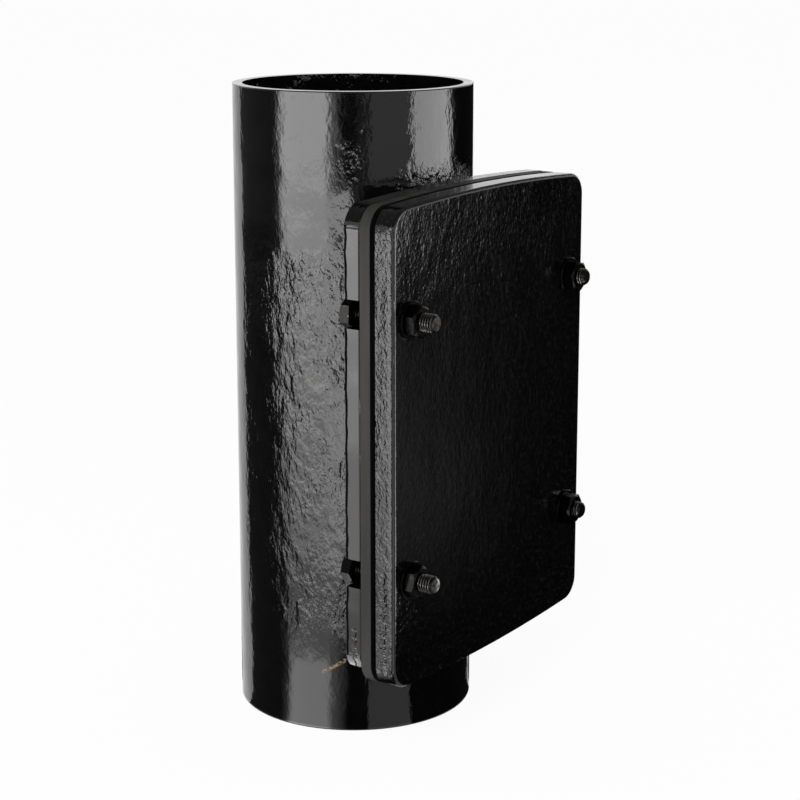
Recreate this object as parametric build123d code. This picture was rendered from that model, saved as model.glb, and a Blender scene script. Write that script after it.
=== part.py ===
from build123d import *
import os

# Cast iron soil access pipe, DN 100: a plain-ended pipe with a bolted, gasketed rectangular door.
# Millimetres. The pipe stands on its lower end: its axis is Z, its foot is at z = 0, the door faces -Y.

# Pipe
PIPE_DIAMETER = 110.0
PIPE_WALL = 4.5
PIPE_LENGTH = 292.0

# Door frame: the flange cast on the pipe, its back sunk into the pipe's crown, and the neck that joins
# the two around the window
DOOR_WIDTH = 157.0
FRAME_HEIGHT = 209.0
FRAME_BOW = 2.5
FRAME_CORNER = 10.5
FRAME_SINK = 3.3
FRAME_THICKNESS = 8.0
FRAME_EDGE = 0.8
WINDOW_WIDTH = 80.0
WINDOW_HEIGHT = 150.0
WINDOW_CORNER = 14.0
NECK_WALL = 6.0

# Door cover and its gasket, a little taller than the frame
COVER_HEIGHT = 213.4
COVER_BOW = 2.8
COVER_CORNER = 10.5
COVER_THICKNESS = 9.5
COVER_EDGE = 1.6
LAND_HEIGHT = 2.6
LAND_INSET = 4.0
GASKET_THICKNESS = 5.2
GASKET_LAP = 3.0

# M8 fasteners; the two bolts on the door's left stand further out of their nuts
BOLT_EDGE = 12.5
BOLT_SPAN_Z = 113.5
BOLT_DIAMETER = 8.0
BOLT_CLEARANCE = 0.5
THREAD_CLEARANCE = 0.1
BOLT_STUB_LEFT = 6.8
BOLT_STUB_RIGHT = 3.6
BOLT_POINT = 1.0
HEX_ACROSS_FLATS = 13.0
HEX_FACE_DIAMETER = 12.4
HEX_TURN_SLOPE = 3 ** 0.5
HEAD_HEIGHT = 5.3
NUT_HEIGHT = 5.0
WASHER_DIAMETER = 17.0
WASHER_THICKNESS = 1.2

# Slots in the frame's sides, and the raised seats for the bolt heads behind them: the bolts, and the cover
# on them, rest on the lower sides of the slots
SLOT_WIDTH = 12.5
SEAT_DIAMETER = 19.0
SEAT_HEIGHT = 2.0
BOLT_REST_GAP = 0.1

# Places along the door's normal, measured out from the pipe's axis
FRAME_BACK = PIPE_DIAMETER / 2 - FRAME_SINK
SEAT_BACK = FRAME_BACK - SEAT_HEIGHT
FRAME_FRONT = FRAME_BACK + FRAME_THICKNESS
GASKET_FRONT = FRAME_FRONT + GASKET_THICKNESS
COVER_BACK = GASKET_FRONT + LAND_HEIGHT
COVER_FRONT = COVER_BACK + COVER_THICKNESS
WASHER_FRONT = COVER_FRONT + WASHER_THICKNESS
NUT_FRONT = WASHER_FRONT + NUT_HEIGHT

# Heights of the frame's middle and of the middle of the cover, gasket and bolts
FRAME_MID_Z = PIPE_LENGTH / 2
COVER_MID_Z = FRAME_MID_Z - (SLOT_WIDTH - BOLT_DIAMETER) / 2 + BOLT_REST_GAP

HOLE_DIAMETER = BOLT_DIAMETER + 2 * BOLT_CLEARANCE
BOLT_SPAN_X = DOOR_WIDTH - 2 * BOLT_EDGE


def door_plane(reach, mid_z):
    """Plane parallel to the door, facing out of it, at the given distance from the pipe's axis."""
    return Plane(origin=(0, -reach, mid_z), x_dir=(1, 0, 0), z_dir=(0, -1, 0))


def door_outline(width, height, bow, corner):
    """Outline of a door plate: straight sides, bowed top and bottom, rounded corners."""
    half = width / 2
    shoulder = height / 2 - bow
    edges = Curve() + [
        Line((half, -shoulder), (half, shoulder)),
        ThreePointArc((half, shoulder), (0, height / 2), (-half, shoulder)),
        Line((-half, shoulder), (-half, -shoulder)),
        ThreePointArc((-half, -shoulder), (0, -height / 2), (half, -shoulder)),
    ]
    face = make_face(edges)
    return fillet(face.vertices(), corner)


def bolt_places():
    """The four bolt centres, as places on a door plane: upper left, upper right, lower left, lower right."""
    return [
        Pos(side * BOLT_SPAN_X / 2, level * BOLT_SPAN_Z / 2)
        for level in (1, -1)
        for side in (-1, 1)
    ]


def make_frame():
    """The door frame alone: a plate with an open bolt slot run in from its side, and a seat, at each bolt."""
    plate = extrude(door_outline(DOOR_WIDTH, FRAME_HEIGHT, FRAME_BOW, FRAME_CORNER), FRAME_THICKNESS)
    plate = Pos(0, 0, SEAT_HEIGHT) * plate
    for place in bolt_places():
        side = 1 if place.position.X > 0 else -1
        run = Pos(side * BOLT_EDGE / 2, 0) * Rectangle(BOLT_EDGE, SLOT_WIDTH)
        plate += extrude(place * Circle(SEAT_DIAMETER / 2), SEAT_HEIGHT)
        plate -= extrude(place * (Circle(SLOT_WIDTH / 2) + run), SEAT_HEIGHT + FRAME_THICKNESS)
    front_edges = plate.faces().sort_by(Axis.Z)[-1].outer_wire().edges()
    return door_plane(SEAT_BACK, FRAME_MID_Z) * chamfer(front_edges, FRAME_EDGE)


def make_access_pipe():
    """The one casting: pipe, neck and door frame, with the bore and the window run through them."""
    standing = (Align.CENTER, Align.CENTER, Align.MIN)
    outer = Cylinder(PIPE_DIAMETER / 2, PIPE_LENGTH, align=standing)
    bore = Cylinder(PIPE_DIAMETER / 2 - PIPE_WALL, PIPE_LENGTH, align=standing)

    middle = door_plane(0, FRAME_MID_Z)
    neck_outline = RectangleRounded(
        WINDOW_WIDTH + 2 * NECK_WALL, WINDOW_HEIGHT + 2 * NECK_WALL, WINDOW_CORNER + NECK_WALL
    )
    neck = middle * extrude(neck_outline, FRAME_BACK)
    window_outline = RectangleRounded(WINDOW_WIDTH, WINDOW_HEIGHT, WINDOW_CORNER)
    window = middle * extrude(window_outline, FRAME_FRONT)

    return outer + neck + make_frame() - bore - window


def make_gasket():
    """Flat rubber gasket the size of the cover, punched for the window and the four bolts."""
    sheet = door_outline(DOOR_WIDTH, COVER_HEIGHT, COVER_BOW, COVER_CORNER)
    sheet -= RectangleRounded(WINDOW_WIDTH - 2 * GASKET_LAP, WINDOW_HEIGHT - 2 * GASKET_LAP, WINDOW_CORNER)
    for place in bolt_places():
        sheet -= place * Circle(HOLE_DIAMETER / 2)
    return door_plane(FRAME_FRONT, COVER_MID_Z) * extrude(sheet, GASKET_THICKNESS)


def make_cover():
    """Cast cover plate: a thick plate with a rounded front edge and a seating land on its back."""
    land = door_outline(
        DOOR_WIDTH - 2 * LAND_INSET,
        COVER_HEIGHT - 2 * LAND_INSET,
        COVER_BOW,
        COVER_CORNER - LAND_INSET,
    )
    plate = extrude(door_outline(DOOR_WIDTH, COVER_HEIGHT, COVER_BOW, COVER_CORNER), COVER_THICKNESS)
    plate = fillet(plate.faces().sort_by(Axis.Z)[-1].outer_wire().edges(), COVER_EDGE)
    solid = extrude(land, LAND_HEIGHT) + Pos(0, 0, LAND_HEIGHT) * plate
    for place in bolt_places():
        solid -= extrude(place * Circle(HOLE_DIAMETER / 2), LAND_HEIGHT + COVER_THICKNESS)
    return door_plane(GASKET_FRONT, COVER_MID_Z) * solid


def hex_block(height):
    """Hexagonal block standing on a corner, with the corners of its upper face turned off at 30 degrees."""
    hexagon = RegularPolygon(HEX_ACROSS_FLATS / 2, 6, major_radius=False, rotation=30)
    face_radius = HEX_FACE_DIAMETER / 2
    turned = Cone(face_radius + height * HEX_TURN_SLOPE, face_radius, height)
    return extrude(hexagon, height) & Pos(0, 0, height / 2) * turned


def make_bolt(stub):
    """Hexagon bolt pointing out of the door: head on its seat, pointed end a stub's length past the nut."""
    length = NUT_FRONT + stub - SEAT_BACK
    shank = Cylinder(BOLT_DIAMETER / 2, length, align=(Align.CENTER, Align.CENTER, Align.MIN))
    shank = chamfer(shank.edges().group_by(Axis.Z)[-1], BOLT_POINT)
    return shank + Rot(180, 0, 0) * hex_block(HEAD_HEIGHT)


def make_nut():
    """Hexagon nut, bored to run on the bolt."""
    return hex_block(NUT_HEIGHT) - Cylinder(BOLT_DIAMETER / 2 + THREAD_CLEARANCE, 3 * NUT_HEIGHT)


def make_washer():
    """Flat washer under the nut."""
    return extrude(Circle(WASHER_DIAMETER / 2) - Circle(HOLE_DIAMETER / 2), WASHER_THICKNESS)


def build():
    """All the named solids of the part."""
    parts = {
        "access_pipe": make_access_pipe(),
        "door_gasket": make_gasket(),
        "door_cover": make_cover(),
    }
    bolts = {"left": make_bolt(BOLT_STUB_LEFT), "right": make_bolt(BOLT_STUB_RIGHT)}
    nut, washer = make_nut(), make_washer()
    corners = ("upper_left", "upper_right", "lower_left", "lower_right")
    for corner, place in zip(corners, bolt_places()):
        bolt = bolts[corner.split("_")[1]]
        parts[f"bolt_{corner}"] = door_plane(SEAT_BACK, COVER_MID_Z) * place * bolt
        parts[f"washer_{corner}"] = door_plane(COVER_FRONT, COVER_MID_Z) * place * washer
        parts[f"nut_{corner}"] = door_plane(WASHER_FRONT, COVER_MID_Z) * place * nut
    return parts


os.makedirs("parts", exist_ok=True)
for name, shape in build().items():
    shape.label = name
    export_step(shape, f"parts/{name}.step")
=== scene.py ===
"""Dresses a cast iron soil access pipe: coated castings, rubber gasket, dark M8 fasteners, white stage."""

import logging
import math
from dataclasses import dataclass, field
from enum import Enum
from typing import Any, Callable, Sequence

import bmesh
import bpy
from mathutils import Matrix, Vector


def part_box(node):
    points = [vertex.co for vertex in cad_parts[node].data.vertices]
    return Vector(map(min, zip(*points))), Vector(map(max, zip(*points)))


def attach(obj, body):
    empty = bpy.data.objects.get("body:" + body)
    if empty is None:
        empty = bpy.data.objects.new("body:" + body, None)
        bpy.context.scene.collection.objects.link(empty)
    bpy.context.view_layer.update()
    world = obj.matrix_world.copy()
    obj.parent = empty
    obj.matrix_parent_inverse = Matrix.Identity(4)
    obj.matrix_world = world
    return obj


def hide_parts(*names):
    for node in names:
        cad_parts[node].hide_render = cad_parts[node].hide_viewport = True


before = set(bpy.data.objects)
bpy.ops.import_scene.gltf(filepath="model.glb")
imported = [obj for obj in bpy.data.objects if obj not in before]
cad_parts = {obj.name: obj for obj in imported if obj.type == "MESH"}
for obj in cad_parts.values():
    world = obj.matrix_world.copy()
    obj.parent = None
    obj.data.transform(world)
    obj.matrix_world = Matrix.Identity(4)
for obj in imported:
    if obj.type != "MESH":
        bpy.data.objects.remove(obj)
LOG = logging.getLogger("access_pipe")
BODY = "root"
MM = 0.001
WHITE = (1.0, 1.0, 1.0, 1.0)
FRAME_THICKNESS = 8.0

# The colour sockets of a Mix node, by number: its sockets for plain numbers have the same names
MIX_FIRST, MIX_SECOND, MIX_RESULT = 6, 7, 2

Triple = tuple[float, float, float]
Span = tuple[float, float]
Ring = Callable[[float], Vector]


class Corner(Enum):
    """The four bolted corners of the door, by the ending of their nodes' names."""

    UPPER_LEFT = "upper_left"
    UPPER_RIGHT = "upper_right"
    LOWER_LEFT = "lower_left"
    LOWER_RIGHT = "lower_right"


class Value:
    """A number that varies over a surface: one socket, with arithmetic that adds Math nodes."""

    def __init__(self, shader: "Shader", socket: bpy.types.NodeSocket) -> None:
        """Wraps a socket.

        Args:
            shader: the node tree's helper.
            socket: the output socket that carries the number.
        """
        self.shader = shader
        self.socket = socket

    def _math(self, operation: str, first: Any, second: Any = 0.0) -> "Value":
        """Adds one Math node and returns its result."""
        node = self.shader.node("ShaderNodeMath", {"operation": operation}, {0: first, 1: second})
        return Value(self.shader, node.outputs[0])

    def __add__(self, other: Any) -> "Value":
        """self + other."""
        return self._math("ADD", self, other)

    def __radd__(self, other: Any) -> "Value":
        """other + self."""
        return self._math("ADD", other, self)

    def __sub__(self, other: Any) -> "Value":
        """self - other."""
        return self._math("SUBTRACT", self, other)

    def __rsub__(self, other: Any) -> "Value":
        """other - self."""
        return self._math("SUBTRACT", other, self)

    def __mul__(self, other: Any) -> "Value":
        """self * other."""
        return self._math("MULTIPLY", self, other)

    def __truediv__(self, other: Any) -> "Value":
        """self / other."""
        return self._math("DIVIDE", self, other)

    def __rtruediv__(self, other: Any) -> "Value":
        """other / self."""
        return self._math("DIVIDE", other, self)

    def __neg__(self) -> "Value":
        """-self."""
        return self._math("MULTIPLY", self, -1.0)

    def least(self, other: Any) -> "Value":
        """The smaller of the two."""
        return self._math("MINIMUM", self, other)

    def most(self, other: Any) -> "Value":
        """The larger of the two."""
        return self._math("MAXIMUM", self, other)

    def size(self) -> "Value":
        """The number without its sign."""
        return self._math("ABSOLUTE", self)

    def root(self) -> "Value":
        """The square root."""
        return self._math("SQRT", self)

    def sine(self) -> "Value":
        """The sine of an angle in radians."""
        return self._math("SINE", self)

    def cosine(self) -> "Value":
        """The cosine of an angle in radians."""
        return self._math("COSINE", self)

    def fold(self, reach: float) -> "Value":
        """The number run up to reach and down again, over and over."""
        return self._math("PINGPONG", self, reach)

    def turn_from(self, other: Any) -> "Value":
        """The angle of the point (other, self), in radians."""
        return self._math("ARCTAN2", self, other)

    def ramp(self, low: float, high: float) -> "Value":
        """0 below low, 1 above high, a smooth step between; the other way round where high is the lower."""
        settings = {"interpolation_type": "SMOOTHSTEP"}
        if low < high:
            inputs = {"Value": self, "From Min": low, "From Max": high, "To Min": 0.0, "To Max": 1.0}
        else:
            inputs = {"Value": self, "From Min": high, "From Max": low, "To Min": 1.0, "To Max": 0.0}
        return Value(self.shader, self.shader.node("ShaderNodeMapRange", settings, inputs).outputs[0])

    def within(self, low: float, high: float, soft: float) -> "Value":
        """1 between low and high, with smooth edges as wide as soft outside them."""
        return self.ramp(low - soft, low) * self.ramp(high + soft, high)

    def scaled(self, where: "Value", factor: Any) -> "Value":
        """The number times factor where the mask is 1, and unchanged where it is 0."""
        return self * (1.0 + where * (factor - 1.0))


class Shader:
    """Builds one node tree: every node comes through node()."""

    def __init__(self, tree: bpy.types.NodeTree) -> None:
        """Takes a tree over, emptied.

        Args:
            tree: a material's or world's node tree.
        """
        self.tree = tree
        tree.nodes.clear()

    def node(
        self, kind: str, settings: dict[str, Any] | None = None, inputs: dict[Any, Any] | None = None
    ) -> Any:
        """Adds one node.

        Args:
            kind: the node's type name.
            settings: properties, set before the sockets.
            inputs: values or links, by the socket's name or number.

        Returns:
            The new node.
        """
        node = self.tree.nodes.new(kind)
        for name, value in (settings or {}).items():
            setattr(node, name, value)
        for name, value in (inputs or {}).items():
            socket = node.inputs[name]
            source = value.socket if isinstance(value, Value) else value
            if isinstance(source, bpy.types.NodeSocket):
                self.tree.links.new(source, socket)
            else:
                socket.default_value = source
        return node

    def place(self) -> Any:
        """The Object coordinates' socket."""
        return self.node("ShaderNodeTexCoord").outputs["Object"]

    def metres(self, place: Any) -> tuple[Value, Value, Value]:
        """The three coordinates of a place, in metres."""
        node = self.node("ShaderNodeSeparateXYZ", inputs={0: place})
        x, y, z = (Value(self, out) for out in node.outputs)
        return x, y, z

    def axes(self, place: Any) -> tuple[Value, Value, Value]:
        """The three coordinates of a place, in millimetres."""
        x, y, z = self.metres(place)
        return x / MM, y / MM, z / MM

    def moved(self, place: Any, stretch: Triple, turn: Triple = (0.0, 0.0, 0.0)) -> Any:
        """A place turned (degrees) and then stretched by a Mapping node."""
        angles = tuple(math.radians(a) for a in turn)
        inputs = {"Vector": place, "Rotation": angles, "Scale": stretch}
        return self.node("ShaderNodeMapping", inputs=inputs).outputs[0]

    def noise(self, place: Any, grain_mm: float, detail: float = 2.0, rough: float = 0.5) -> Value:
        """Smooth noise from about -0.5 to 0.5, with lumps about grain_mm across."""
        inputs = {"Vector": place, "Scale": 1 / (grain_mm * MM), "Detail": detail, "Roughness": rough}
        node = self.node("ShaderNodeTexNoise", inputs=inputs)
        return Value(self, node.outputs[0]) - 0.5

    def cells(self, place: Any, grain_mm: float) -> tuple[Value, Value]:
        """Distance to the nearest of scattered points, in cell widths, and a random number for each cell."""
        settings = {"feature": "F1"}
        node = self.node("ShaderNodeTexVoronoi", settings, {"Vector": place, "Scale": 1 / (grain_mm * MM)})
        shade = self.node("ShaderNodeSeparateColor", inputs={0: node.outputs["Color"]})
        return Value(self, node.outputs["Distance"]), Value(self, shade.outputs[0])

    def blend(self, factor: Any, first: Any, second: Any) -> Any:
        """The colour that goes from first to second as factor goes from 0 to 1."""
        ends = [(*end, 1.0) if isinstance(end, tuple) else end for end in (first, second)]
        inputs = {"Factor": factor, MIX_FIRST: ends[0], MIX_SECOND: ends[1]}
        return self.node("ShaderNodeMix", {"data_type": "RGBA"}, inputs).outputs[MIX_RESULT]

    def relief(self, height_mm: Value) -> Any:
        """A normal bent by a height in millimetres."""
        inputs = {"Height": height_mm, "Distance": MM, "Strength": 1.0}
        return self.node("ShaderNodeBump", inputs=inputs).outputs[0]

    def emission(self, strength: Any) -> Any:
        """White light of a strength."""
        return self.node("ShaderNodeEmission", inputs={"Color": WHITE, "Strength": strength}).outputs[0]

    def surface(self, inputs: dict[str, Any]) -> None:
        """Ends a material in one Principled shader with the given inputs."""
        self.end(self.node("ShaderNodeBsdfPrincipled", inputs=inputs).outputs[0])

    def end(self, surface: Any) -> None:
        """Ends a material in a surface shader."""
        self.node("ShaderNodeOutputMaterial", inputs={"Surface": surface})


def box_mm(node: str) -> tuple[Vector, Vector]:
    """The lowest and the highest corner of a node's box, in millimetres."""
    low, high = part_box(node)
    return Vector(low) / MM, Vector(high) / MM


def new_material(name: str, colour: Triple) -> tuple[bpy.types.Material, Shader]:
    """An empty node material.

    Args:
        name: the material's name.
        colour: its colour in the viewport.

    Returns:
        The material and the helper for its nodes.
    """
    material = bpy.data.materials.new(name)
    material.use_nodes = True
    material.diffuse_color = (*colour, 1.0)
    return material, Shader(material.node_tree)


@dataclass(frozen=True)
class Streak:
    """A narrow mark on a surface, from one point to another, in millimetres; core is its solid share."""

    start: Triple
    end: Triple
    reach: float
    core: float = 0.3

    def mask(self, shader: Shader, place: Any) -> Value:
        """1 on the streak, fading to 0 at its reach."""
        run = Vector(self.end) - Vector(self.start)
        unit = run.normalized()
        off = [axis - start for axis, start in zip(shader.axes(place), self.start)]
        along = (off[0] * unit.x + off[1] * unit.y + off[2] * unit.z).most(0.0).least(run.length)
        gaps = [component - along * step for component, step in zip(off, unit)]
        gap = (gaps[0] * gaps[0] + gaps[1] * gaps[1] + gaps[2] * gaps[2]).root()
        return gap.ramp(self.reach, self.reach * self.core)


@dataclass(frozen=True)
class Seam:
    """A ragged upright line that the mould left on a side face, in millimetres; core is its flat share."""

    across: float
    low: float
    high: float
    width: float
    height: float
    wander: float
    wander_mm: float = 5.0
    core: float = 0.2
    soft: float = 3.0

    def relief(self, shader: Shader, place: Any) -> Value:
        """Height of the line over the face round it."""
        y, z = shader.axes(place)[1:]
        drift = shader.noise(shader.moved(place, (0.0, 0.0, 1.0)), self.wander_mm, 3.0, 0.6) * self.wander
        off = (y + drift - self.across).size()
        across = off.ramp(self.width, self.width * self.core)
        return across * z.within(self.low, self.high, self.soft) * self.height


@dataclass(frozen=True)
class BackEdge:
    """The frame's back edge on its two side faces: wavy, rounded over, and the faces with a little draft.

    Attributes:
        back: y of the frame's back.
        faces: distance from the middle at which the side faces start.
        rounding: how far in front of the back the rounding starts and ends.
        drop: depth of the rounding.
        wave_mm: length of the waves.
        wave_run: their size.
        draft: rise of the faces for each millimetre towards the back.
    """

    back: float
    faces: Span = (78.2, 78.4)
    rounding: Span = (1.5, 0.2)
    drop: float = 1.0
    wave_mm: float = 8.0
    wave_run: float = 1.8
    draft: float = 0.05

    def relief(self, shader: Shader, place: Any) -> Value:
        """Height over the plain faces."""
        x, y = shader.axes(place)[:2]
        wavy = y + shader.noise(place, self.wave_mm, 3.0) * self.wave_run
        rounded = wavy.ramp(self.back - self.rounding[0], self.back - self.rounding[1]) * self.drop
        return x.size().ramp(*self.faces) * ((y - self.back) * self.draft - rounded)


@dataclass(frozen=True)
class FrontEdge:
    """The cover's front edge on its two side faces, rounded over from start on, with a curve."""

    start: float
    faces: Span = (78.0, 78.3)
    curve: float = 0.14

    def relief(self, shader: Shader, place: Any) -> Value:
        """Height over the plain faces."""
        x, y = shader.axes(place)[:2]
        past = (self.start - y).most(0.0)
        return past * past * x.size().ramp(*self.faces) * -self.curve


@dataclass(frozen=True)
class PipeSkin:
    """What is particular to the pipe: its bore, its two cut ends, and the neck and frame that stand off it.

    Attributes:
        radius: outer radius.
        top: height of the upper end; the lower one is at 0.
        bore: radius of the bore.
        off_pipe: distances outside the pipe over which the neck and frame take over.
        frame_amount: what multiplies the grain on the neck and frame.
        in_bore: distances outside the bore over which its surface starts.
        bore_amount: what multiplies the grain in the bore's patches.
        rim: distances below the top over which its face starts.
        rim_amount: what multiplies the grain on that face.
        outside: distances inside the pipe's outer face over which it starts.
        top_lip: run and depth of the upper end's worn edge.
        foot_lip: run and depth of the lower end's worn edge.
    """

    radius: float
    top: float
    bore: float = 50.5
    off_pipe: Span = (0.3, 2.0)
    frame_amount: float = 0.4
    in_bore: Span = (0.5, 0.2)
    bore_amount: float = 5.0
    rim: Span = (0.1, 0.02)
    rim_amount: float = 0.2
    outside: Span = (0.4, 0.1)
    top_lip: Span = (0.5, 0.15)
    foot_lip: Span = (1.3, 0.5)

    def graded(self, shader: Shader, place: Any, amount: Value, patch: Value) -> Value:
        """The amount of grain, changed for the neck and frame, the bore and the rim."""
        x, y, z = shader.axes(place)
        reach = (x * x + y * y).root()
        beyond = reach.ramp(*(self.radius + gap for gap in self.off_pipe))
        within = reach.ramp(*(self.bore + gap for gap in self.in_bore))
        rim = z.ramp(*(self.top - gap for gap in self.rim))
        amount = amount.scaled(beyond, self.frame_amount)
        return amount.scaled(within, patch * self.bore_amount).scaled(rim, self.rim_amount)

    def relief(self, shader: Shader, place: Any) -> Value:
        """The worn outer edges of the two ends, below the plain surface."""
        x, y, z = shader.axes(place)
        outside = (x * x + y * y).root().ramp(*(self.radius - gap for gap in self.outside))
        upper = z.ramp(self.top - self.top_lip[0], self.top) * self.top_lip[1]
        lower = z.ramp(self.foot_lip[0], 0.0) * self.foot_lip[1]
        return -((upper + lower) * outside)


@dataclass(frozen=True)
class CoatedCasting:
    """Glossy black coating over sand-cast iron: orange peel, sand grain, slow waves, pits and faint rust.

    Lengths are millimetres. A Span gives where an effect starts and where it is whole. The grain is
    multiplied by an amount that changes over the casting: calm at the back, door_side near the door, and
    rough in a zone between two heights, where patches vary it.

    Attributes:
        colour: the coating's black.
        worn_colour: the coating where it is thin, in patches.
        roughness: of the clean coating.
        peel_mm: size of the coating's peel; sand_mm and ripple_mm are for coarser lumps. Each has a height.
        stretch: how much longer than wide these lumps are drawn, as a factor on their upright scale.
        slant: the lumps' lean, in degrees.
        tint_mm: size of the worn patches.
        tint_span: values of noise between which they show.
        wave_mm: length of the casting's slow waves.
        door_turn: y over which calm becomes door_side.
        door_rise: how far the rough zone is lifted at the door.
        door_foot: y over which it is lifted.
        rough_soft: width of the zone's upper and lower edges.
        rough_side: y over which the zone fades in from the back.
        patch_least: share of the roughness between the patches.
        side_face: distance from the middle at which the side faces start.
        side_amount: what multiplies the grain on them.
        pit_gap: distance from a pit's middle to its edge and to its floor, in cells.
        pit_chance: values of a cell's random number between which it has a pit.
        pipe: the pipe's own surfaces, where the casting has a pipe.
        edges: softened edges and seams, each with a relief.
        streaks: marks of rust.
    """

    name: str
    colour: Triple = (0.0011, 0.0011, 0.0012)
    worn_colour: Triple = (0.0028, 0.0025, 0.0023)
    rust_colour: Triple = (0.23, 0.165, 0.075)
    roughness: float = 0.07
    peel_mm: float = 1.7
    peel_height: float = 0.095
    sand_mm: float = 4.0
    sand_height: float = 0.28
    ripple_mm: float = 9.0
    ripple_height: float = 0.22
    stretch: float = 0.55
    slant: float = 38.0
    tint_mm: float = 9.0
    tint_span: Span = (-0.2, 0.3)
    wave_mm: float = 28.0
    wave_height: float = 0.8
    film_mm: float = 14.0
    film_span: Span = (-0.1, 0.35)
    calm: float = 0.5
    door_side: float = 0.8
    door_turn: Span = (-26.0, -46.0)
    rough: float = 4.8
    rough_from: float = 56.0
    rough_to: float = 212.0
    rough_soft: float = 16.0
    rough_side: Span = (34.0, -12.0)
    door_rise: float = 36.0
    door_foot: Span = (-37.0, -47.0)
    patch_mm: float = 22.0
    patch_span: Span = (-0.14, 0.16)
    patch_least: float = 0.45
    patch_gain: float = 0.75
    side_face: Span = (77.6, 78.3)
    side_amount: float = 1.0
    pit_mm: float = 6.0
    pit_gap: Span = (0.16, 0.03)
    pit_chance: Span = (0.94, 0.96)
    pit_depth: float = 0.12
    rust_mm: float = 1.1
    rust_span: Span = (-0.16, 0.1)
    crust_mm: float = 0.8
    crust_height: float = 0.3
    pipe: PipeSkin | None = None
    edges: tuple[Any, ...] = ()
    streaks: tuple[Streak, ...] = ()

    def build(self) -> bpy.types.Material:
        """Makes the material."""
        material, shader = new_material(self.name, self.colour)
        place = shader.place()
        rust = self._rust(shader, place)
        gap, chance = shader.cells(place, self.pit_mm)
        pits = gap.ramp(*self.pit_gap) * chance.ramp(*self.pit_chance)
        height = self._grain(shader, place) - pits * self.pit_depth
        for edge in self.edges:
            height = height + edge.relief(shader, place)
        if self.pipe:
            height = height + self.pipe.relief(shader, place)
        crust = rust * shader.noise(place, self.crust_mm, 3.0) * self.crust_height
        tint = shader.noise(place, self.tint_mm, 4.0).ramp(*self.tint_span)
        coating = shader.blend(tint, self.colour, self.worn_colour)
        film = shader.noise(place, self.film_mm, 3.0).ramp(*self.film_span)
        shader.surface({
            "Base Color": shader.blend(rust, coating, self.rust_colour),
            "Roughness": self.roughness + film * 0.05 + pits * 0.2 + rust * 0.45,
            "Normal": shader.relief(height + crust), "IOR": 1.52})
        return material

    def _grain(self, shader: Shader, place: Any) -> Value:
        """The coating's peel, the sand grain and the casting's slow waves."""
        slanted = shader.moved(place, (1.0, 1.0, self.stretch), (self.slant, 0.0, 0.0))
        peel = shader.noise(slanted, self.peel_mm, 2.0) * self.peel_height
        sand = shader.noise(slanted, self.sand_mm, 3.0, 0.55) * self.sand_height
        ripple = shader.noise(slanted, self.ripple_mm, 1.0) * self.ripple_height
        wave = shader.noise(place, self.wave_mm, 1.0) * self.wave_height
        return (peel + sand + ripple) * self._amount(shader, place) + wave

    def _amount(self, shader: Shader, place: Any) -> Value:
        """How strong the grain is at each place."""
        x, y, z = shader.axes(place)
        patch = shader.noise(place, self.patch_mm, 3.0).ramp(*self.patch_span)
        lifted = z - y.ramp(*self.door_foot) * self.door_rise
        zone = lifted.within(self.rough_from, self.rough_to, self.rough_soft) * y.ramp(*self.rough_side)
        amount = self.calm + y.ramp(*self.door_turn) * (self.door_side - self.calm)
        amount = amount + zone * (self.rough - amount) * (self.patch_least + patch * self.patch_gain)
        amount = amount.scaled(x.size().ramp(*self.side_face), self.side_amount)
        return self.pipe.graded(shader, place, amount, patch) if self.pipe else amount

    def _rust(self, shader: Shader, place: Any) -> Value:
        """Where the streaks of rust show, broken up by noise."""
        broken = shader.noise(place, self.rust_mm, 3.0).ramp(*self.rust_span)
        total = broken * 0.0
        for streak in self.streaks:
            total = total.most(streak.mask(shader, place) * broken)
        return total


@dataclass(frozen=True)
class GasketRubber:
    """Satin black sheet rubber: fine upright drag marks on its cut edge, and its front face painted near
    black as shade in the gap.

    Attributes:
        front: y of the gasket's front face.
        gap_shade_span: distances behind the front over which the painted shade on its front face starts.
    """

    name: str
    front: float
    gap_shade_span: Span = (0.2, 0.1)
    colour: Triple = (0.026, 0.0255, 0.024)
    dusty_colour: Triple = (0.047, 0.044, 0.042)
    # Painted shade: near black for the front face, which lies in shade in the gap between frame and cover
    painted_gap_shade_colour: Triple = (0.004, 0.004, 0.004)
    roughness: float = 0.55
    drag_mm: float = 0.7
    drag_stretch: float = 0.03
    drag_height: float = 0.02
    grit_mm: float = 0.5
    grit_height: float = 0.01
    dust_mm: float = 9.0
    dust_stretch: float = 0.2
    dust_span: Span = (-0.15, 0.3)

    def build(self) -> bpy.types.Material:
        """Makes the material."""
        material, shader = new_material(self.name, self.colour)
        place = shader.place()
        # Painted shade: the front face, in the gap between frame and cover, is coloured near black
        painted_gap_shade = shader.axes(place)[1].ramp(*(self.front + gap for gap in self.gap_shade_span))
        drag = shader.noise(shader.moved(place, (1.0, 1.0, self.drag_stretch)), self.drag_mm, 3.0)
        grit = shader.noise(place, self.grit_mm, 2.0)
        dust = shader.noise(shader.moved(place, (1.0, 1.0, self.dust_stretch)), self.dust_mm, 4.0)
        dust = dust.ramp(*self.dust_span)
        rubber = shader.blend(dust, self.colour, self.dusty_colour)
        shader.surface({
            "Base Color": shader.blend(painted_gap_shade, rubber, self.painted_gap_shade_colour),
            "Roughness": self.roughness + dust * 0.1, "IOR": 1.5, "Specular IOR Level": 0.14,
            "Normal": shader.relief(drag * self.drag_height + grit * self.grit_height)})
        return material


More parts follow.
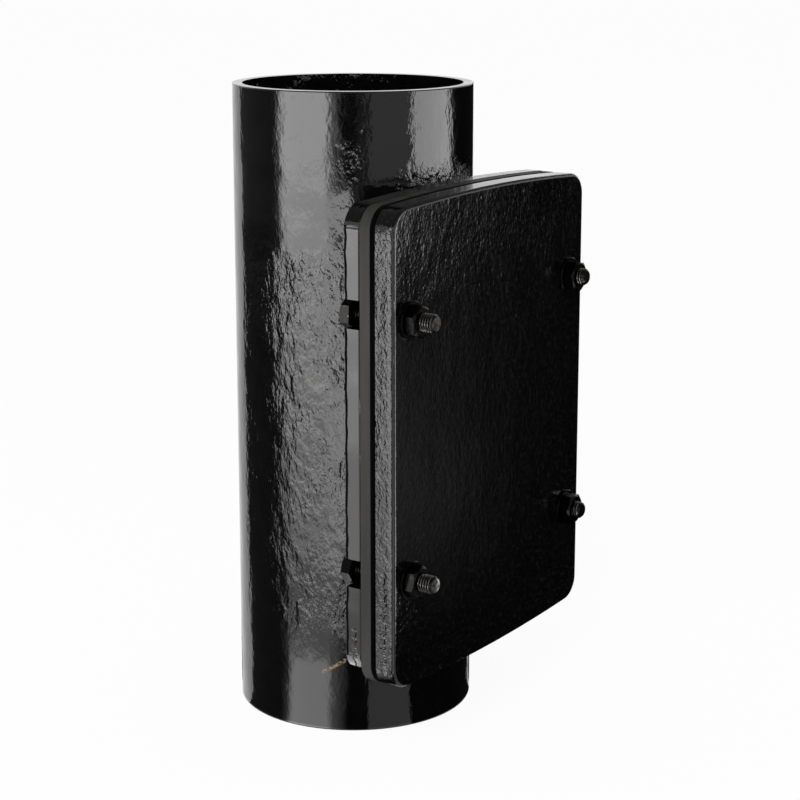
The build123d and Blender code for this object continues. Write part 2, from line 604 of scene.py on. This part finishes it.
@dataclass(frozen=True)
class DarkSteel:
    """Black oxide on steel, rubbed to bare metal in places, least on each nut and washer, which are blacker;
    the lower left bolt's head is painted darker as shade, and its end is painted light as a highlight.

    Attributes:
        bolt: the upper left bolt's box, in millimetres.
        nut_front: y of each nut's front face.
        cover_front: y of the cover's face, behind the washers.
        middle: height of the middle between the bolts.
        end_run: distances behind a long bolt's end over which its face starts.
        low_rows: heights over which the lower fasteners start.
        left_side: x over which the left fasteners start.
        shaded_head_span: y over which each bolt's head starts; the lower left one is painted darker as shade
            and rubbed less.
        painted_highlight_side: x over which the lower left bolt's end takes its painted highlight.
        crests: distances from a bolt's axis over which the thread's crests start.
        crest_amount: how far the crests are rubbed.
        nut_and_shaded_head_calm: how much less each nut and washer is rubbed, and the lower left bolt's
            head, which is kept dark as painted shade.
    """

    name: str
    bolt: tuple[Vector, Vector]
    nut_front: float
    cover_front: float
    middle: float
    colour: Triple = (0.016, 0.0155, 0.0145)
    rubbed_colour: Triple = (0.20, 0.19, 0.17)
    # Blacker coating for each nut and washer; also painted shade on the lower left bolt's head
    nut_black_and_head_shade: Triple = (0.005, 0.005, 0.0048)
    end_colour: Triple = (0.055, 0.053, 0.05)
    # Painted highlight on the lower left bolt's end
    painted_highlight_end_colour: Triple = (0.45, 0.44, 0.42)
    end_run: Span = (0.3, 0.05)
    low_rows: Span = (120.0, 100.0)
    left_side: Span = (-50.0, -60.0)
    shaded_head_span: Span = (-50.2, -49.6)
    painted_highlight_side: Span = (-66.2, -64.2)
    crests: Span = (3.65, 3.9)
    crest_amount: float = 0.45
    nut_and_shaded_head_calm: float = 0.9
    roughness: float = 0.2
    rub_mm: float = 1.9
    rub_span: Span = (0.06, 0.26)
    wear_mm: float = 3.0
    wear_span: Span = (-0.2, 0.05)
    scuff_mm: float = 0.6
    scuff_height: float = 0.012
    dent_mm: float = 1.2
    dent_height: float = 0.02

    def build(self) -> bpy.types.Material:
        """Makes the material."""
        material, shader = new_material(self.name, self.colour)
        place = shader.place()
        x, y, z = shader.axes(place)
        low_left = z.ramp(*self.low_rows) * x.ramp(*self.left_side)
        nuts_and_shaded_head = y.within(self.nut_front - 0.05, self.cover_front + 0.1, 0.05)
        # Painted shade: the lower left bolt's head is added to this mask, so it is coloured darker and
        # rubbed less
        nuts_and_shaded_head = nuts_and_shaded_head.most(low_left * y.ramp(*self.shaded_head_span))
        rubbed = shader.noise(place, self.rub_mm, 4.0, 0.65).ramp(*self.rub_span)
        rubbed = rubbed.most(self._crests(x, y, z) * self.crest_amount) * (1.0 - nuts_and_shaded_head * self.nut_and_shaded_head_calm)
        end = y.ramp(*(self.bolt[0].y + gap for gap in self.end_run))
        end = end * shader.noise(place, self.wear_mm, 2.0).ramp(*self.wear_span)
        # Painted highlight: the lower left bolt's end is coloured light, over the worn cut ends of the
        # others
        painted_highlight = low_left * x.ramp(*self.painted_highlight_side)
        end_wear_and_highlight = shader.blend(painted_highlight, self.end_colour, self.painted_highlight_end_colour)
        worn = shader.blend(rubbed, shader.blend(nuts_and_shaded_head, self.colour, self.nut_black_and_head_shade), self.rubbed_colour)
        scuff = shader.noise(shader.moved(place, (1.0, 0.25, 1.0)), self.scuff_mm, 3.0)
        dents = shader.noise(place, self.dent_mm, 2.0) * self.dent_height
        shader.surface({
            "Base Color": shader.blend(end, worn, end_wear_and_highlight), "Metallic": 0.9,
            "Roughness": self.roughness + scuff * 0.2 + end * 0.2,
            "Normal": shader.relief(scuff * self.scuff_height + dents)})
        return material

    def _crests(self, x: Value, y: Value, z: Value) -> Value:
        """1 on the thread's crests, in front of each nut."""
        axis = (self.bolt[0] + self.bolt[1]) / 2
        aside, above = x.size() - abs(axis.x), (z - self.middle).size() - (axis.z - self.middle)
        front = y.ramp(self.nut_front - 0.05, self.nut_front - 0.15)
        return (aside * aside + above * above).root().ramp(*self.crests) * front


@dataclass
class Finishes:
    """The four finishes of the part, made once."""

    casting: bpy.types.Material = field(init=False)
    cover: bpy.types.Material = field(init=False)
    rubber: bpy.types.Material = field(init=False)
    steel: bpy.types.Material = field(init=False)

    def __post_init__(self) -> None:
        """Builds the materials."""
        pipe_high = box_mm("access_pipe")[1]
        gasket_low, gasket_high = box_mm("door_gasket")
        cover_low, cover_high = box_mm("door_cover")
        self.casting = CoatedCasting(
            "coated_casting_gloss", side_amount=0.12, pipe=PipeSkin(pipe_high.y, pipe_high.z),
            edges=(BackEdge(gasket_high.y + FRAME_THICKNESS), Seam(-56.2, 47.0, 64.0, 1.3, -0.22, 8.0)),
            streaks=(
                Streak((-75.0, -52.0, 43.0), (-71.0, -51.7, 41.6), 2.2),
                Streak((-47.2, -28.3, 34.0), (-51.6, -19.0, 27.9), 1.1),
            ),
        ).build()
        self.cover = CoatedCasting(
            "coated_cover_gloss", worn_colour=(0.011, 0.0105, 0.0098), tint_mm=2.2, tint_span=(-0.02, 0.3),
            peel_mm=1.25, peel_height=0.07, sand_mm=2.6, sand_height=0.085, ripple_mm=5.5,
            ripple_height=0.09, wave_height=0.35, stretch=0.7, pit_depth=0.03, calm=1.05, door_side=1.05,
            rough=1.05, side_amount=4.6,
            edges=(FrontEdge(cover_low.y + 3.4), Seam(-71.2, 50.0, 92.0, 1.6, -0.3, 9.0)),
        ).build()
        self.rubber = GasketRubber("gasket_rubber_satin", gasket_low.y).build()
        self.steel = DarkSteel(
            "fastener_dark_steel", box_mm("bolt_upper_left"), box_mm("nut_upper_left")[0].y, cover_low.y,
            (cover_low.z + cover_high.z) / 2,
        ).build()

    def dress_node(self, name: str, material: bpy.types.Material) -> None:
        """Puts a finish on every slot of a node that stays.

        Args:
            name: the node.
            material: its finish.
        """
        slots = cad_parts[name].data.materials
        for number in range(len(slots)):
            slots[number] = material
        LOG.info("dressed %s with %s", name, material.name)


def mesh_object(name: str, mesh: bpy.types.Mesh) -> bpy.types.Object:
    """Puts a mesh in the scene as an object at the origin."""
    piece = bpy.data.objects.new(name, mesh)
    bpy.context.scene.collection.objects.link(piece)
    return piece


def round_ring(radius: float, level: float) -> Ring:
    """A circle round the Z axis, as the point at a turn given in radians."""
    return lambda turn: Vector((radius * math.cos(turn), radius * math.sin(turn), level))


def add_rings(
    shape: bmesh.types.BMesh, rings: Sequence[Ring], steps: int, closed: bool = False
) -> list[list[bmesh.types.BMVert]]:
    """Adds rings of points to a shape, with a band of faces from each to the next.

    Args:
        shape: the shape to add to.
        rings: for each ring, the point at a turn given in radians.
        steps: points on each ring.
        closed: whether the last ring joins the first.

    Returns:
        The rings' points, ring by ring.
    """
    rows = [[shape.verts.new(ring(math.tau * step / steps)) for step in range(steps)] for ring in rings]
    for lower, upper in list(zip(rows, rows[1:])) + ([(rows[-1], rows[0])] if closed else []):
        for step in range(steps):
            after = (step + 1) % steps
            shape.faces.new((lower[step], lower[after], upper[after], upper[step]))
    return rows


def mesh_from(name: str, shape: bmesh.types.BMesh) -> bpy.types.Mesh:
    """Turns a shape into a mesh, and lets the shape go."""
    mesh = bpy.data.meshes.new(name)
    shape.to_mesh(mesh)
    shape.free()
    return mesh


def ring_mesh(name: str, rings: Sequence[Ring], steps: int, closed: bool) -> bpy.types.Mesh:
    """A shape of revolution, or one whose section changes as it turns.

    Args:
        name: the mesh's name.
        rings: for each ring, the point at a turn given in radians.
        steps: points on each ring.
        closed: whether the last ring joins the first, as on a washer; otherwise the two ends are capped.

    Returns:
        The mesh, its faces outwards.
    """
    shape = bmesh.new()
    rows = add_rings(shape, rings, steps, closed)
    if not closed:
        shape.faces.new(rows[0])
        shape.faces.new(rows[-1])
    bmesh.ops.recalc_face_normals(shape, faces=shape.faces)
    return mesh_from(name, shape)


class ThreadTree:
    """Geometry Nodes that turn a flat grid into a threaded shank, ridge by ridge, from named sizes."""

    INPUTS = ("Radius", "Pitch", "Depth", "Length", "Point")
    FLANK = (0.1, 0.9)
    WELD = 1e-6

    def __init__(self, material: bpy.types.Material, around: int = 28, per_pitch: int = 6) -> None:
        """Builds the tree.

        Args:
            material: the thread's finish.
            around: faces round the shank.
            per_pitch: faces along each turn of the thread.
        """
        self.around = around
        self.per_pitch = per_pitch
        self.tree = bpy.data.node_groups.new("threaded_shank", "GeometryNodeTree")
        self.sockets: dict[str, str] = {}
        for name in self.INPUTS:
            item = self.tree.interface.new_socket(name, in_out="INPUT", socket_type="NodeSocketFloat")
            self.sockets[name] = item.identifier
        rows = self.tree.interface.new_socket("Rows", in_out="INPUT", socket_type="NodeSocketInt")
        self.sockets["Rows"] = rows.identifier
        self.tree.interface.new_socket("Geometry", in_out="OUTPUT", socket_type="NodeSocketGeometry")
        self._build(material)

    def _build(self, material: bpy.types.Material) -> None:
        """Adds the nodes: a grid rolled into a tube, its radius going down and up along a spiral."""
        shader = Shader(self.tree)
        given = shader.node("NodeGroupInput")
        sizes = {name: Value(shader, given.outputs[name]) for name in self.INPUTS}
        grid = shader.node("GeometryNodeMeshGrid", inputs={
            "Size X": 1.0, "Size Y": 1.0,
            "Vertices X": given.outputs["Rows"], "Vertices Y": self.around + 1})
        spot = shader.metres(shader.node("GeometryNodeInputPosition").outputs[0])
        along = (spot[0] + 0.5) * sizes["Length"]
        turn = spot[1] + 0.5
        flank = ((along / sizes["Pitch"] - turn).fold(0.5) * 2.0).ramp(*self.FLANK)
        point = ((along - sizes["Length"]) + sizes["Point"]).most(0.0)
        radius = (sizes["Radius"] - flank * sizes["Depth"]).least(sizes["Radius"] - point)
        angle = turn * math.tau
        target = shader.node("ShaderNodeCombineXYZ", inputs={
            0: radius * angle.cosine(), 1: radius * angle.sine(), 2: along})
        wrapped = shader.node("GeometryNodeSetPosition", inputs={
            "Geometry": grid.outputs["Mesh"], "Position": target.outputs[0]})
        joined = shader.node("GeometryNodeMergeByDistance", inputs={
            "Geometry": wrapped.outputs[0], "Distance": self.WELD})
        real = shader.node("GeometryNodeRealizeInstances", inputs={"Geometry": joined.outputs[0]})
        dressed = shader.node("GeometryNodeSetMaterial", inputs={
            "Geometry": real.outputs[0], "Material": material})
        shader.node("NodeGroupOutput", inputs={"Geometry": dressed.outputs[0]})

    def mesh(self, name: str, sizes: dict[str, float]) -> bpy.types.Mesh:
        """A shank of the given sizes, in metres, standing on the origin.

        Args:
            name: the mesh's name.
            sizes: a value for each name in INPUTS.

        Returns:
            A plain mesh, open at both ends.
        """
        carrier = mesh_object(name, bpy.data.meshes.new(name))
        modifier = carrier.modifiers.new("thread", "NODES")
        modifier.node_group = self.tree
        for label, value in sizes.items():
            modifier[self.sockets[label]] = value
        modifier[self.sockets["Rows"]] = int(sizes["Length"] / sizes["Pitch"] * self.per_pitch)
        bpy.context.view_layer.update()
        evaluated = carrier.evaluated_get(bpy.context.evaluated_depsgraph_get())
        mesh = bpy.data.meshes.new_from_object(evaluated)
        mesh.name = name
        bpy.data.objects.remove(carrier)
        return mesh


@dataclass
class Fastener:
    """One bolted corner: hexagon bolt through frame, gasket and cover, with its washer and nut. Metres."""

    corner: Corner
    steel: bpy.types.Material
    thread: ThreadTree
    head_turn: float
    nut_turn: float
    thread_turn: float
    flats: float = 13.0 * MM
    face: float = 12.4 * MM
    diameter: float = 8.0 * MM
    pitch: float = 1.25 * MM
    thread_depth: float = 0.8 * MM
    point: float = 1.0 * MM
    edge: float = 0.18 * MM
    corner_slope: float = 30.0
    head_height: float = 5.3 * MM
    head_core: float = 0.4 * MM
    thread_gap: float = 0.02 * MM
    washer_gap: float = 0.5 * MM
    washer_edge: float = 0.25 * MM
    smooth_below: float = 28.0
    steps: int = 72

    def build(self) -> None:
        """Makes the three pieces, each in place of its node."""
        for kind, maker in (("bolt", self._bolt), ("washer", self._washer), ("nut", self._nut)):
            node = f"{kind}_{self.corner.value}"
            piece = mesh_object(f"{node}_detailed", maker(node))
            self._finish(piece, node)

    def _finish(self, piece: bpy.types.Object, node: str) -> None:
        """Dresses a piece, smooths it by angle and has it stand for its node."""
        mesh = piece.data
        mesh.materials.clear()
        mesh.materials.append(self.steel)
        mesh.polygons.foreach_set("use_smooth", [True] * len(mesh.polygons))
        mesh.set_sharp_from_angle(angle=math.radians(self.smooth_below))
        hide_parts(node)
        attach(piece, BODY)
        LOG.info("made %s with %d faces", piece.name, len(mesh.polygons))

    def _stand(self, node: str, turn: float) -> Matrix:
        """The move from a shape standing on the origin to the node's place, its foot at the node's back."""
        low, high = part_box(node)
        foot = Vector(((low.x + high.x) / 2, high.y, (low.z + high.z) / 2))
        out_of_door = Matrix.Rotation(math.radians(90.0), 4, "X")
        return Matrix.Translation(foot) @ out_of_door @ Matrix.Rotation(math.radians(turn), 4, "Z")

    def _hex_rings(self, height: float, hole: float, lower_face: float) -> list[Ring]:
        """The rings of a hexagonal block with turned corners, from its hole's foot round to its hole's top.

        Args:
            height: the block's height.
            hole: the hole's radius.
            lower_face: diameter that the lower corners are turned to; a large one leaves them sharp.

        Returns:
            The rings, from the foot up.
        """
        slope = math.tan(math.radians(self.corner_slope))
        sector = math.pi / 3

        def cut(face: float, level: float, inset: float) -> Ring:
            """The ring where corners turned to a face's diameter meet the flats, inset from its level."""
            def point(turn: float) -> Vector:
                """One point of the ring."""
                reach = self.flats / 2 / math.cos((turn + sector / 2) % sector - sector / 2)
                drop = max(reach - face / 2, 0.0) * slope + abs(inset)
                rise = math.copysign(drop, inset)
                return Vector((reach * math.cos(turn), reach * math.sin(turn), level + rise))
            return point

        return [
            round_ring(hole, 0.0),
            round_ring(min(lower_face, self.flats - 2 * self.edge) / 2, 0.0),
            cut(lower_face, 0.0, self.edge),
            cut(self.face, height, -self.edge),
            round_ring(self.face / 2 - self.edge, height),
            round_ring(hole, height),
        ]

    def _bolt(self, node: str) -> bpy.types.Mesh:
        """The bolt: threaded shank and hexagon head, which overlap a little inside."""
        low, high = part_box(node)
        shape = bmesh.new()
        shape.from_mesh(self.thread.mesh(node, {
            "Radius": self.diameter / 2, "Pitch": self.pitch, "Depth": self.thread_depth,
            "Length": high.y - self.head_height - low.y, "Point": self.point}))
        bmesh.ops.holes_fill(shape, edges=[edge for edge in shape.edges if edge.is_boundary], sides=0)
        seat = Matrix.Translation((0, 0, self.head_height))
        turn = Matrix.Rotation(math.radians(self.thread_turn), 4, "Z")
        bmesh.ops.transform(shape, matrix=seat @ turn, verts=shape.verts)
        sharp_below = self.flats * 1.2
        head_rings = self._hex_rings(self.head_height, self.head_core, sharp_below)
        head = ring_mesh(f"{node}_head", head_rings, self.steps, False)
        flip = seat @ Matrix.Rotation(math.pi, 4, "X")
        head.transform(flip @ Matrix.Rotation(math.radians(self.head_turn), 4, "Z"))
        shape.from_mesh(head)
        bmesh.ops.recalc_face_normals(shape, faces=shape.faces)
        mesh = mesh_from(node, shape)
        mesh.transform(self._stand(node, 0.0))
        return mesh

    def _nut(self, node: str) -> bpy.types.Mesh:
        """The nut, bored to the thread."""
        low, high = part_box(node)
        rings = self._hex_rings(high.y - low.y, self.diameter / 2 + self.thread_gap, self.face)
        mesh = ring_mesh(node, rings, self.steps, True)
        mesh.transform(self._stand(node, self.nut_turn))
        return mesh

    def _washer(self, node: str) -> bpy.types.Mesh:
        """The washer, with softened edges."""
        low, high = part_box(node)
        outer, hole = (high.x - low.x) / 2, self.diameter / 2 + self.washer_gap
        thick, soft = high.y - low.y, self.washer_edge
        sections = [
            (hole, 0.0), (outer - soft, 0.0), (outer, soft),
            (outer, thick - soft), (outer - soft, thick), (hole, thick),
        ]
        mesh = ring_mesh(node, [round_ring(*section) for section in sections], self.steps, True)
        mesh.transform(self._stand(node, 0.0))
        return mesh


@dataclass(frozen=True)
class CardPatch:
    """A lit part of the cards: bearings in degrees from the door towards its left, reach in metres."""

    start: float
    end: float
    near: float
    far: float
    level: float
    soft: float = 3.0
    fade: float = 0.04


@dataclass
class Studio:
    """White floor and surround, a soft lamp, the cards that the gloss mirrors, and the camera.

    Metres and degrees, unless a name says otherwise. The cards lie a hair above the floor, rise at the rim
    and hang overhead. Each patch lights one band of the reflections, as its comment says.
    """

    floor_size: float = 60.0
    floor_white: float = 0.92
    floor_glow: float = 0.94
    card_hole: float = 0.001
    card_lift: float = 0.0004
    card_radius: float = 3.0
    card_rise: float = 0.29
    card_steps: int = 96
    pipe_radius: float = 0.055
    surround: float = 0.6
    dark: float = 0.008
    ceiling: tuple[Span, ...] = ((3.0, 1.5), (0.001, 2.2))
    ceiling_from: Span = (0.9, 1.2)
    ceiling_level: float = 0.15
    patches: tuple[CardPatch, ...] = (
        # The broad light band left of the pipe's middle, brighter the higher up it is seen
        CardPatch(81.0, 121.0, 2.1, 9.0, 6.2, 9.0, 1.2),
        CardPatch(81.0, 121.0, 1.0, 9.0, 4.9, 11.0, 0.5),
        CardPatch(82.0, 118.0, 0.62, 9.0, 3.9, 14.0, 0.25),
        CardPatch(84.0, 114.0, 0.33, 9.0, 2.8, 22.0, 0.15),
        CardPatch(84.0, 112.0, 0.0, 9.0, 1.3, 24.0),
        CardPatch(84.0, 118.0, 0.0, 0.13, 3.1, 12.0, 0.05),
        # The glow at the pipe's middle, below the plain upper end
        CardPatch(50.0, 79.0, 0.42, 1.7, 4.5, 3.0, 0.2),
        CardPatch(50.0, 79.0, 0.3, 0.9, 3.0, 4.0, 0.08),
        CardPatch(50.0, 79.0, 0.21, 0.9, 2.1, 6.0, 0.06),
        CardPatch(42.0, 50.0, 1.5, 9.0, 0.12, 5.0, 0.5),
        # The dim left side
        CardPatch(122.0, 200.0, 0.0, 9.0, 0.045, 20.0),
        CardPatch(122.0, 200.0, 1.6, 9.0, 0.1, 20.0, 0.6),
        # The light band right of the middle, at the two ends, and the dim stretch before it
        CardPatch(-47.0, -8.0, 1.5, 9.0, 4.6, 4.0, 0.4),
        CardPatch(-32.0, -6.0, 0.25, 9.0, 4.0),
        CardPatch(-50.0, -6.0, 1.8, 9.0, 0.9, 7.0, 0.5),
        CardPatch(-40.0, -6.0, 0.5, 9.0, 0.24, 22.0, 0.35),
        CardPatch(0.0, 41.0, 0.0, 9.0, 0.58),
        # The pipe's left and right outlines
        CardPatch(190.0, 240.0, 0.0, 9.0, 1.0),
        CardPatch(-126.0, -120.0, 0.0, 9.0, 1.0),
    )
    lamp_size: float = 1.2
    lamp_watts: float = 26.0
    lamp_place: Triple = (-1.6, -0.5, 1.3)
    lamp_aim: Triple = (0.0, 0.0, 0.15)
    distance: float = 0.90415
    bearing: float = 54.1
    height: float = 0.36222
    swing: float = 1.36
    dip: float = 12.02
    focal_pixels: float = 1971.7
    picture_pixels: float = 800.0
    rise_pixels: float = -56.0
    sensor_mm: float = 36.0

    def build(self) -> None:
        """Makes everything round the part."""
        self._world()
        self._floor()
        self._cards()
        self._lamp()
        self._camera()

    def _seen_white(self, shader: Shader) -> Value:
        """1 for rays from the camera, and for those that gloss or glass sends on."""
        path = shader.node("ShaderNodeLightPath")
        rays = ("Is Camera Ray", "Is Glossy Ray", "Is Transmission Ray")
        camera, glossy, through = (Value(shader, path.outputs[name]) for name in rays)
        return camera.most(glossy).most(through)

    def _world(self) -> None:
        """A white surround, plainer as a light than as a background."""
        world = bpy.data.worlds.new("white_surround")
        world.use_nodes = True
        bpy.context.scene.world = world
        shader = Shader(world.node_tree)
        strength = self.surround + self._seen_white(shader) * (1.0 - self.surround)
        back = shader.node("ShaderNodeBackground", inputs={"Color": WHITE, "Strength": strength})
        shader.node("ShaderNodeOutputWorld", inputs={"Surface": back.outputs[0]})

    def _floor(self) -> None:
        """A white floor that keeps a faint shadow."""
        half = self.floor_size / 2
        mesh = bpy.data.meshes.new("studio_floor")
        rim = [(-half, -half, 0), (half, -half, 0), (half, half, 0), (-half, half, 0)]
        mesh.from_pydata(rim, [], [(0, 1, 2, 3)])
        floor = mesh_object("studio_floor", mesh)
        material, shader = new_material("floor_white", (0.9, 0.9, 0.9))
        white = self.floor_white
        matt = shader.node("ShaderNodeBsdfDiffuse", inputs={"Color": (white, white, white, 1.0)})
        mixed = shader.node("ShaderNodeMixShader", inputs={
            0: self._seen_white(shader) * self.floor_glow, 1: matt.outputs[0], 2: shader.emission(1.0)})
        shader.end(mixed.outputs[0])
        mesh.materials.append(material)

    def _cards(self) -> None:
        """Dark cards with lit openings, round the pipe and over it, which only the gloss sees."""
        lift = self.card_lift
        around = ((self.card_hole, lift), (self.card_radius, lift), (self.card_radius, self.card_rise))
        shape = bmesh.new()
        for sections in (around, self.ceiling):
            add_rings(shape, [round_ring(*section) for section in sections], self.card_steps)
        mesh = mesh_from("studio_cards", shape)
        cards = mesh_object("studio_cards", mesh)
        material, shader = new_material("cards", (0.1, 0.1, 0.1))
        x, y, z = shader.metres(shader.place())
        sine, cosine = math.sin(math.radians(self.bearing)), math.cos(math.radians(self.bearing))
        reach = (x * x + y * y).root()
        turn = (y * sine - x * cosine).turn_from(-(x * sine + y * cosine)) * math.degrees(1.0)
        bearing = turn / (1.0 - self.pipe_radius / 2 / reach.most(self.pipe_radius)) + self.bearing
        glow = bearing * 0.0 + self.dark
        for patch in self.patches:
            across = bearing.within(patch.start, patch.end, patch.soft)
            glow = glow.most(across * reach.within(patch.near, patch.far, patch.fade) * patch.level)
        low, high = self.ceiling_from
        glow = glow * z.ramp(high, low) + z.ramp(low, high) * self.ceiling_level
        shader.end(shader.emission(glow))
        mesh.materials.append(material)
        for sense in ("camera", "diffuse", "transmission", "volume_scatter", "shadow"):
            setattr(cards, f"visible_{sense}", False)

    def _lamp(self) -> None:
        """One broad soft lamp from the upper left, for the shape of what isn't glossy."""
        data = bpy.data.lights.new("soft_lamp", "AREA")
        data.shape = "DISK"
        data.size = self.lamp_size
        data.energy = self.lamp_watts
        lamp = bpy.data.objects.new("soft_lamp", data)
        bpy.context.scene.collection.objects.link(lamp)
        lamp.location = self.lamp_place
        lamp.rotation_euler = (Vector(self.lamp_aim) - lamp.location).to_track_quat("-Z", "Y").to_euler()
        lamp.visible_glossy = False

    def _camera(self) -> None:
        """The photograph's viewpoint: beyond the door's left side, a little above the pipe."""
        data = bpy.data.cameras.new("camera")
        data.sensor_width = self.sensor_mm
        data.lens = self.sensor_mm * self.focal_pixels / self.picture_pixels
        data.shift_y = self.rise_pixels / self.picture_pixels
        camera = bpy.data.objects.new("camera", data)
        bpy.context.scene.collection.objects.link(camera)
        bearing = math.radians(self.bearing)
        away, side = self.distance * math.cos(bearing), self.distance * math.sin(bearing)
        camera.location = (-side, -away, self.height)
        heading = math.radians(self.bearing + self.swing)
        camera.rotation_euler = (math.radians(90.0 - self.dip), 0.0, -heading)
        bpy.context.scene.camera = camera


def main() -> None:
    """Builds the finishes, the detailed fasteners and the studio."""
    logging.basicConfig(level=logging.INFO, format="%(message)s")
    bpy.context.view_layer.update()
    finishes = Finishes()
    finishes.dress_node("access_pipe", finishes.casting)
    finishes.dress_node("door_cover", finishes.cover)
    finishes.dress_node("door_gasket", finishes.rubber)
    thread = ThreadTree(finishes.steel)
    # Degrees that the bolt's head, the nut and the thread are turned by at each corner
    turns = {
        Corner.UPPER_LEFT: (4.0, 8.0, 20.0),
        Corner.UPPER_RIGHT: (-9.0, 20.0, 110.0),
        Corner.LOWER_LEFT: (27.0, -12.0, 200.0),
        Corner.LOWER_RIGHT: (25.0, 27.0, 290.0),
    }
    for corner, (head_turn, nut_turn, thread_turn) in turns.items():
        Fastener(corner, finishes.steel, thread, head_turn, nut_turn, thread_turn).build()
    Studio().build()
    bpy.context.scene.view_settings.view_transform = "Standard"


if __name__ == "__main__":
    main()
